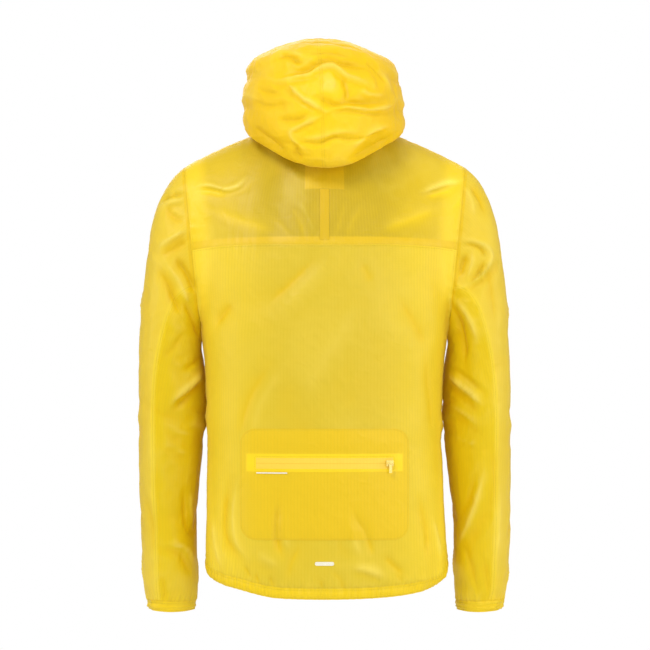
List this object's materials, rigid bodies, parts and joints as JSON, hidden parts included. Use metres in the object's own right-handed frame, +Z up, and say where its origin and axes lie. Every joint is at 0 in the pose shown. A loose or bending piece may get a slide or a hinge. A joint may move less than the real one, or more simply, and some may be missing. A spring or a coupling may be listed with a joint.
{
  "type": "windbreaker jacket",
  "caption": "Hooded zip-front windbreaker of thin ripstop cloth, hollow as if worn, with a back yoke, a zipped back patch pocket, a dropped tail and elastic cuffs.",
  "frame": {"origin": "between the wearer's shoulders, level with the sides of the neck", "axes": "+Z up, the back faces +Y and the front -Y, the wearer's left is +X"},
  "size_m": [0.5994, 0.32, 0.9179],
  "materials": {
    "cloth": "thin translucent yellow ripstop, slightly glossy",
    "yoke_cloth": "yellow ripstop in two layers, denser",
    "binding": "narrow gathered elastic binding, yellow",
    "zip_tape": "pale yellow woven zip tape with a closed coil",
    "zip_hardware": "pale yellow painted metal",
    "reflective": "plain silver reflective film"
  },
  "bodies": {
    "jacket": {"back_panel": "cloth", "front_left": "cloth", "front_right": "cloth", "sleeve_top_left": "cloth", "sleeve_top_right": "cloth", "sleeve_under_left": "cloth", "sleeve_under_right": "cloth", "hood_left": "cloth", "hood_right": "cloth", "pocket_patch": "cloth", "yoke_strip": "cloth", "back_yoke": "yoke_cloth", "neck_patch": "yoke_cloth", "hem_back": "binding", "hem_front_left": "binding", "hem_front_right": "binding", "cuff_left": "binding", "cuff_right": "binding", "front_zip_tape_left": "zip_tape", "front_zip_tape_right": "zip_tape", "pocket_zip_tape_upper": "zip_tape", "pocket_zip_tape_lower": "zip_tape", "front_zip_slider": "zip_hardware", "pocket_zip_slider": "zip_hardware", "reflective_bar_pocket": "reflective", "reflective_bar_hem": "reflective"},
    "pocket_pull": {"pocket_zip_pull": "zip_hardware"},
    "front_pull": {"front_zip_pull": "zip_hardware"}
  },
  "joints": [
    {"name": "pocket_pull_swing", "type": "hinge", "parent": "jacket", "child": "pocket_pull", "pos_m": [-0.10315, 0.12267, -0.528], "axis": [0.9642, 0.2652, 0], "range_deg": [0, 160]},
    {"name": "front_pull_swing", "type": "hinge", "parent": "jacket", "child": "front_pull", "pos_m": [0, -0.08066, -0.03353], "axis": [-1, 0, 0], "range_deg": [0, 130]}
  ]
}
